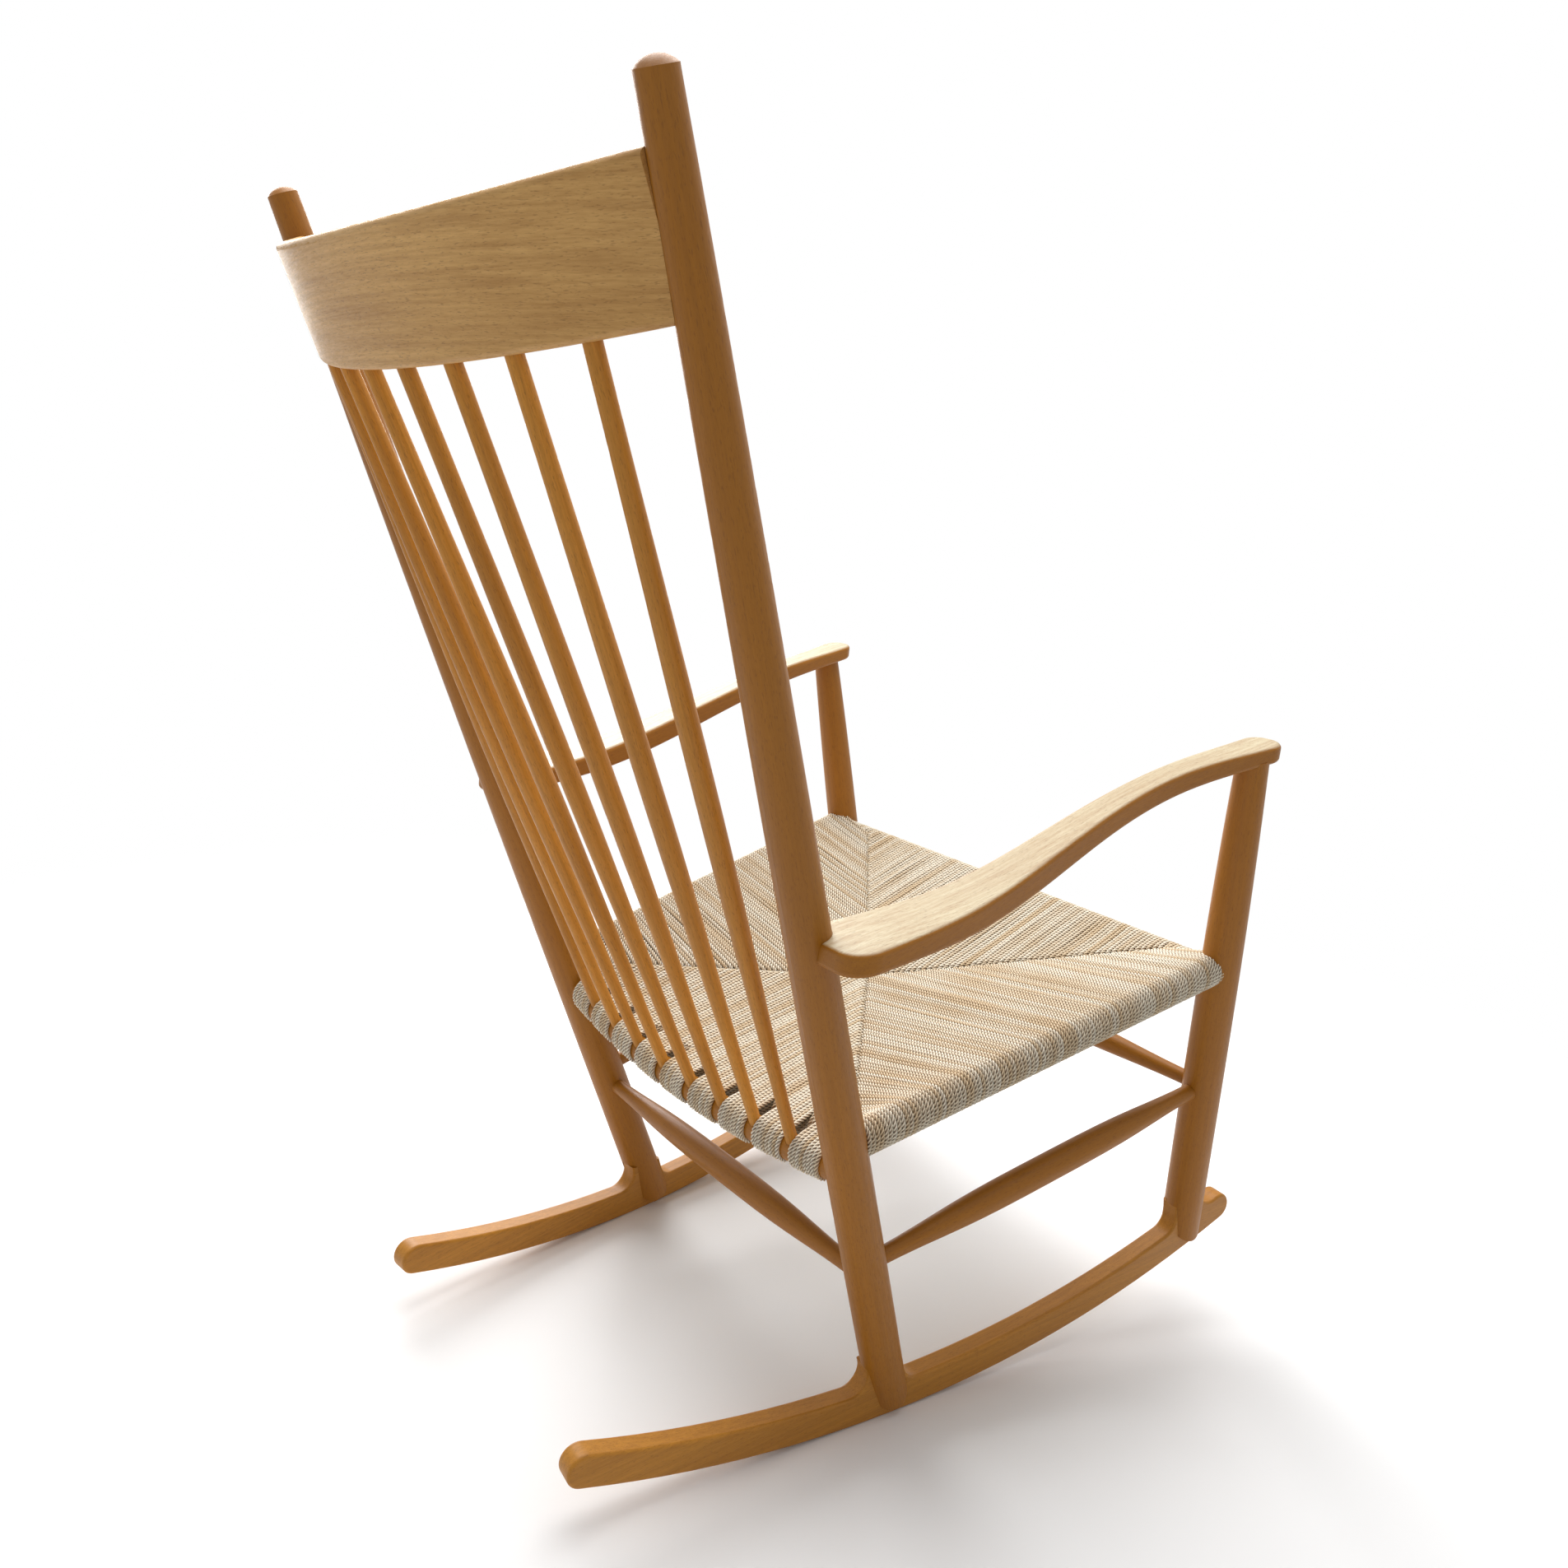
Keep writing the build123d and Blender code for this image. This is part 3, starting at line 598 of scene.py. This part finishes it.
def mitre_at(value, axis, stops):
    """The point of a mitre line where x (axis 0) or y (axis 1) has a given value."""
    stops = sorted((tuple(stop) for stop in stops), key=lambda stop: stop[axis])
    marks = [stop[axis] for stop in stops]
    return np.array([np.interp(value, marks, [stop[k] for stop in stops]) for k in range(3)])


def wander(count, reach, chance, alike=0.75):
    """How far each cord of a row bows sideways in mid-span: neighbours mostly bow
    alike, and where they don't, a gap opens between them."""
    bows = np.zeros(count)
    for index in range(1, count):
        bows[index] = alike * bows[index - 1] + chance.normal(0, reach)
    return bows


def bowed(line, bow):
    """The sideways shift along a cord's line: none at the rail, most in mid-span."""
    return bow * np.sin(pi * np.clip(line[:, 0] / max(line[:, 0].max(), 0.001), 0, 1))


def climbing(line, reach):
    """The line of a cord that comes up just in front of the rail, not round it."""
    near = np.nonzero(line[:, 0] < reach)[0]
    low, top = line[:near[0]], line[near[-1] + 1:]
    rise = top[0] - low[-1]
    climb = [low[-1] + rise * share - [bulge, 0] for share, bulge in CLIMB]
    return np.concatenate([low, climb, top])


def as_cord(points, side, chance):
    """A cord: its line, the way across the plane that it lies in, where its twist
    starts and how brown it is."""
    return points, side, chance.uniform(0, 2 * pi), chance.uniform()


def front_cords(seat, cord, chance):
    """Cords that wrap the front rail and run back to the front mitres."""
    axis = rail_axis("seat_rail_front")[0]
    count = int(2 * seat.front_corner[0] / seat.front_pitch) + 1
    bows = wander(count, cord.loose, chance)
    cords = []
    for index in range(count):
        x = (index - (count - 1) / 2) * seat.front_pitch
        mitre = mitre_at(abs(x), 0, (seat.middle, seat.front_kink, seat.front_corner))
        inner = (mitre[1] - axis[1], mitre[2] - cord.diameter / 2 - axis[2])
        line = dive(wrap(inner, seat, cord), UNDER_END, cord)
        across = x + bowed(line, bows[index])
        points = np.stack([across, axis[1] + line[:, 0], axis[2] + line[:, 1]], 1)
        cords.append(as_cord(points, SIDEWAYS, chance))
    return cords


def side_cords(hand, seat, cord, chance):
    """Cords that wrap a side rail (hand 1 left, -1 right) and run in to the mitres."""
    ends = rail_axis("seat_rail_left" if hand > 0 else "seat_rail_right")
    front, back = sorted(ends, key=lambda point: point[1])
    start, stop = seat.front_kink[1] - seat.side_pitch, seat.back_corner[1] + seat.past_corner
    count = int((stop - start) / seat.side_pitch) + 1
    bows = wander(count, cord.loose, chance)
    cords = []
    for index in range(count):
        y = start + index * seat.side_pitch
        axis = front + (back - front) * (y - front[1]) / (back[1] - front[1])
        if y < seat.middle[1]:
            stops, ending = (seat.front_kink, seat.middle), OVER_END
        else:
            stops, ending = (seat.middle, seat.back_corner), UNDER_END
        mitre = mitre_at(y, 1, stops)
        inner = (abs(axis[0]) - mitre[0], mitre[2] - cord.diameter / 2 - axis[2])
        line = dive(wrap(inner, seat, cord), ending, cord)
        along = y + bowed(line, bows[index])
        points = np.stack([hand * (abs(axis[0]) - line[:, 0]), along, axis[2] + line[:, 1]], 1)
        cords.append(as_cord(points, LENGTHWAYS, chance))
    return cords


def back_cords(seat, cord, chance):
    """Bundles of cords that wrap the back rail between the spindles and run forward to
    the back mitres. In front of each spindle a few more come up from below."""
    first = -(seat.bundle_cords - 1) / 2
    spots = []
    for middle in range(-4, 5):
        bundle = [(first + number) * seat.back_pitch for number in range(seat.bundle_cords)]
        spots += [(middle * seat.spindle_pitch + offset, False) for offset in bundle]
        spots += [((middle + 0.5) * seat.spindle_pitch, True)] * seat.gap_cords
    spots = spots[:-seat.gap_cords]
    spacing = (spots[-1][0] - spots[0][0]) / (len(spots) - 1)
    bows = wander(len(spots), cord.loose / 2, chance)
    cords = []
    for index, (x, from_below) in enumerate(spots):
        even = (index - (len(spots) - 1) / 2) * spacing
        if from_below:
            x = even
        axis = back_rail_axis(x, seat)
        mitre = mitre_at(abs(even), 0, (seat.middle, seat.back_corner))
        inward = axis[1] - mitre[1]
        if from_below and inward < 2 * seat.gap_reach:
            continue
        line = wrap((inward, mitre[2] - cord.diameter / 2 - axis[2]), seat, cord)
        if from_below:
            line = climbing(line, seat.gap_reach)
        line = dive(line, OVER_END, cord)
        closing = np.clip(line[:, 0] / seat.gap_reach, 0, 1)
        closing = closing * closing * (3 - 2 * closing)
        across = x + (even - x) * closing + bowed(line, bows[index])
        points = np.stack([across, axis[1] - line[:, 0], axis[2] + line[:, 1]], 1)
        cords.append(as_cord(points, SIDEWAYS, chance))
    return cords


def weave(name, cords, settings, groups):
    """Build a panel's cords as a few pieces side by side, so that no mesh grows too
    large to handle."""
    size = ceil(len(cords) / groups)
    for group in range(groups):
        cord_object(name + "_" + str(group + 1), cords[group * size:(group + 1) * size], settings)


# ---------------------------------------------------------------- stage

FLOOR_SIDES = 64


def studio_paper(settings):
    """Matt white studio paper, rolled out: it keeps the soft shadow and fades into the
    white round it."""
    material, tree, out = new_material("studio_paper")
    place = add_node(tree, "ShaderNodeTexCoord").outputs["Object"]
    reach = add_node(
        tree, "ShaderNodeVectorMath", operation="LENGTH", links={0: place}
    ).outputs["Value"]
    start = settings.fade_start * settings.floor_radius
    fade = add_node(
        tree, "ShaderNodeMapRange", interpolation_type="SMOOTHSTEP", links={"Value": reach},
        values={"From Min": start, "From Max": settings.floor_radius},
    ).outputs["Result"]
    paper = add_node(
        tree, "ShaderNodeBsdfPrincipled",
        values={"Base Color": settings.floor, "Roughness": 0.9, "Specular IOR Level": 0.1},
    ).outputs["BSDF"]
    clear = add_node(tree, "ShaderNodeBsdfTransparent").outputs["BSDF"]
    mixed = add_node(tree, "ShaderNodeMixShader", links={0: fade, 1: paper, 2: clear})
    tree.links.new(mixed.outputs["Shader"], out.inputs["Surface"])
    return material


def lay_floor(settings):
    """A round sheet of studio paper on the ground."""
    turns = np.linspace(0, 2 * pi, FLOOR_SIDES + 1)[:-1]
    rim = [(settings.floor_radius * cos(turn), settings.floor_radius * sin(turn), 0) for turn in turns]
    mesh = bpy.data.meshes.new("floor")
    mesh.from_pydata(rim, [], [list(range(FLOOR_SIDES))])
    mesh.materials.append(studio_paper(settings))
    floor = bpy.data.objects.new("floor", mesh)
    bpy.context.scene.collection.objects.link(floor)


def hang_lamp(name, power, size, place, aim):
    """A square soft lamp turned to a height on the chair's middle line."""
    data = bpy.data.lights.new(name, "AREA")
    data.energy = power
    data.shape = "SQUARE"
    data.size = size
    lamp = bpy.data.objects.new(name, data)
    lamp.location = place
    lamp.rotation_euler = (Vector((0, 0, aim)) - Vector(place)).to_track_quat("-Z", "Y").to_euler()
    bpy.context.scene.collection.objects.link(lamp)


def surround(settings):
    """White all round as it is seen and mirrored, and dimmer as a light."""
    world = bpy.data.worlds.new("studio")
    world.use_nodes = True
    tree = world.node_tree
    tree.nodes.clear()
    rays = add_node(tree, "ShaderNodeLightPath").outputs
    seen = rays["Is Camera Ray"]
    for kind in ("Is Glossy Ray", "Is Transmission Ray"):
        seen = add_node(
            tree, "ShaderNodeMath", operation="MAXIMUM", links={0: seen, 1: rays[kind]}
        ).outputs[0]
    strength = add_node(
        tree, "ShaderNodeMapRange", links={"Value": seen}, values={"To Min": settings.sky, "To Max": 1.0}
    ).outputs["Result"]
    white = add_node(
        tree, "ShaderNodeBackground", values={"Color": linear("#FFFFFF")}, links={"Strength": strength}
    ).outputs["Background"]
    add_node(tree, "ShaderNodeOutputWorld", links={"Surface": white})
    bpy.context.scene.world = world


def place_camera(settings):
    """The camera, from its place, three turns, lens and shift."""
    yaw, pitch, roll = settings.camera_yaw, settings.camera_pitch, settings.camera_roll
    forward = Vector((sin(yaw) * cos(pitch), -cos(yaw) * cos(pitch), -sin(pitch)))
    level = Vector((-cos(yaw), -sin(yaw), 0))
    down = forward.cross(level)
    right = level * cos(roll) + down * sin(roll)
    up = level * sin(roll) - down * cos(roll)
    data = bpy.data.cameras.new("camera")
    data.lens = settings.camera_lens
    data.shift_x, data.shift_y = settings.camera_shift
    data.clip_end = 50
    camera = bpy.data.objects.new("camera", data)
    turned = Matrix((right, up, -forward)).transposed().to_4x4()
    camera.matrix_world = Matrix.Translation(settings.camera_place) @ turned
    bpy.context.scene.collection.objects.link(camera)
    bpy.context.scene.camera = camera


# ---------------------------------------------------------------- operators
# Each woven panel has a seed of its own, so it comes out the same each time.

class FinishPosts(bpy.types.Operator):
    """Finish the two back posts in oiled beech."""

    bl_idname = "rocker.posts"
    bl_label = "Back posts"
    bl_options = {"REGISTER", "UNDO"}

    def execute(self, context):
        beech = context.scene.rocker.beech
        finish_beech(("back_post_left", "back_post_right"), beech.honey, beech)
        return {"FINISHED"}


class FinishLegs(bpy.types.Operator):
    """Finish the two front legs in oiled beech."""

    bl_idname = "rocker.legs"
    bl_label = "Front legs"
    bl_options = {"REGISTER", "UNDO"}

    def execute(self, context):
        beech = context.scene.rocker.beech
        finish_beech(("front_leg_left", "front_leg_right"), beech.honey, beech)
        return {"FINISHED"}


class FinishRunners(bpy.types.Operator):
    """Finish the two rockers in oiled beech."""

    bl_idname = "rocker.runners"
    bl_label = "Rockers"
    bl_options = {"REGISTER", "UNDO"}

    def execute(self, context):
        beech = context.scene.rocker.beech
        finish_beech(("rocker_left", "rocker_right"), beech.golden, beech)
        return {"FINISHED"}


class FinishArms(bpy.types.Operator):
    """Finish the two arms in oiled beech, with a painted highlight, pale on top."""

    bl_idname = "rocker.arms"
    bl_label = "Arms"
    bl_options = {"REGISTER", "UNDO"}

    def execute(self, context):
        beech = context.scene.rocker.beech
        finish_beech(("arm_left", "arm_right"), beech.honey, beech, top_highlight=True)
        return {"FINISHED"}


class FinishCrest(bpy.types.Operator):
    """Finish the crest rail in oiled beech."""

    bl_idname = "rocker.crest"
    bl_label = "Crest rail"
    bl_options = {"REGISTER", "UNDO"}

    def execute(self, context):
        beech = context.scene.rocker.beech
        finish_beech(("crest_rail",), beech.straw, beech)
        return {"FINISHED"}


class FinishSpindles(bpy.types.Operator):
    """Finish the eight spindles of the back in oiled beech."""

    bl_idname = "rocker.spindles"
    bl_label = "Spindles"
    bl_options = {"REGISTER", "UNDO"}

    def execute(self, context):
        beech = context.scene.rocker.beech
        finish_beech(["spindle_" + str(number) for number in range(1, 9)], beech.bright, beech)
        return {"FINISHED"}


class FinishRails(bpy.types.Operator):
    """Finish the four seat rails and the four stretchers in oiled beech."""

    bl_idname = "rocker.rails"
    bl_label = "Rails and stretchers"
    bl_options = {"REGISTER", "UNDO"}

    def execute(self, context):
        beech = context.scene.rocker.beech
        for kind in ("seat_rail_", "stretcher_"):
            names = [kind + side for side in ("front", "back", "left", "right")]
            finish_beech(names, beech.honey, beech)
        return {"FINISHED"}


class WeaveFront(bpy.types.Operator):
    """Weave the front panel of the seat around the front rail."""

    bl_idname = "rocker.weave_front"
    bl_label = "Front panel"
    bl_options = {"REGISTER", "UNDO"}

    def execute(self, context):
        rocker = context.scene.rocker
        cords = front_cords(rocker.seat, rocker.cord, np.random.default_rng(11))
        weave("weave_front", cords, rocker.cord, groups=4)
        return {"FINISHED"}


class WeaveSides(bpy.types.Operator):
    """Weave the side panels of the seat around the side rails."""

    bl_idname = "rocker.weave_sides"
    bl_label = "Side panels"
    bl_options = {"REGISTER", "UNDO"}

    def execute(self, context):
        rocker = context.scene.rocker
        for name, hand in (("weave_left", 1), ("weave_right", -1)):
            cords = side_cords(hand, rocker.seat, rocker.cord, np.random.default_rng(12 + hand))
            weave(name, cords, rocker.cord, groups=3)
        return {"FINISHED"}


class WeaveBack(bpy.types.Operator):
    """Weave the back panel of the seat around the back rail, between the spindles."""

    bl_idname = "rocker.weave_back"
    bl_label = "Back panel"
    bl_options = {"REGISTER", "UNDO"}

    def execute(self, context):
        rocker = context.scene.rocker
        cords = back_cords(rocker.seat, rocker.cord, np.random.default_rng(14))
        weave("weave_back", cords, rocker.cord, groups=2)
        return {"FINISHED"}


class SetStage(bpy.types.Operator):
    """Lay the floor, hang the lamps and place the camera."""

    bl_idname = "rocker.stage"
    bl_label = "Stage"
    bl_options = {"REGISTER", "UNDO"}

    def execute(self, context):
        stage = context.scene.rocker.stage
        lay_floor(stage)
        hang_lamp("key", stage.key_power, stage.key_size, stage.key_place, stage.key_aim)
        hang_lamp("rim", stage.rim_power, stage.rim_size, stage.rim_place, stage.rim_aim)
        surround(stage)
        place_camera(stage)
        context.scene.view_settings.view_transform = "Standard"
        return {"FINISHED"}


PIECES = (
    FinishPosts, FinishLegs, FinishRunners, FinishArms, FinishCrest, FinishSpindles, FinishRails,
    WeaveFront, WeaveSides, WeaveBack, SetStage,
)


class RockerPanel(bpy.types.Panel):
    """The chair's pieces, in the order in which they are made, and their settings."""

    bl_idname = "VIEW3D_PT_rocker"
    bl_label = "Rocking chair"
    bl_space_type = "VIEW_3D"
    bl_region_type = "UI"
    bl_category = "Rocker"

    def draw(self, context):
        for piece in PIECES:
            self.layout.operator(piece.bl_idname)
        rocker = context.scene.rocker
        for settings in (rocker.beech, rocker.cord, rocker.seat, rocker.stage):
            box = self.layout.box()
            for name in type(settings).__annotations__:
                box.prop(settings, name)


CLASSES = (
    BeechSettings, CordSettings, SeatSettings, StageSettings, RockerSettings, *PIECES, RockerPanel,
)


def register():
    """Register every class and give the scene its settings."""
    for cls in CLASSES:
        bpy.utils.register_class(cls)
    bpy.types.Scene.rocker = PointerProperty(type=RockerSettings)


def unregister():
    """Take back all that register did."""
    del bpy.types.Scene.rocker
    for cls in reversed(CLASSES):
        bpy.utils.unregister_class(cls)


def main():
    """Make the whole chair and its stage."""
    register()
    bpy.ops.rocker.posts()
    bpy.ops.rocker.legs()
    bpy.ops.rocker.runners()
    bpy.ops.rocker.arms()
    bpy.ops.rocker.crest()
    bpy.ops.rocker.spindles()
    bpy.ops.rocker.rails()
    bpy.ops.rocker.weave_front()
    bpy.ops.rocker.weave_sides()
    bpy.ops.rocker.weave_back()
    bpy.ops.rocker.stage()


if __name__ == "__main__":
    main()
